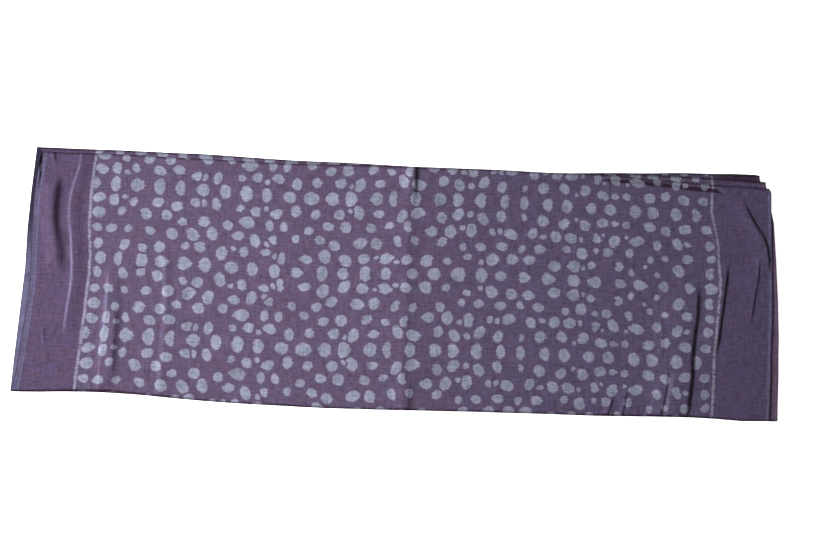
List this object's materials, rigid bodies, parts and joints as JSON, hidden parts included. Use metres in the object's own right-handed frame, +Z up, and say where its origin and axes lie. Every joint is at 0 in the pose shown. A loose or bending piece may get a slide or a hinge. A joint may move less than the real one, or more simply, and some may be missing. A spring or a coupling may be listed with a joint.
{
  "type": "folded ikat cotton fabric",
  "caption": "Length of thin ikat-dyed cotton cloth folded back and forth into a low flat stack, with plain borders along its selvedges and a field of soft irregular dots.",
  "frame": {"origin": "middle of the flat underside of the folded stack", "axes": "+X along the weft from the left selvedge to the right one, +Y towards the far folds and the last cut end, +Z up through the layers"},
  "size_m": [1.135, 0.3722, 0.0181],
  "materials": {
    "dyed_cotton": "thin plain-woven cotton, muted violet ground with pale grey-lilac resist-dyed dots, soft sheen"
  },
  "bodies": {
    "root": {"cloth": "dyed_cotton"}
  },
  "joints": []
}
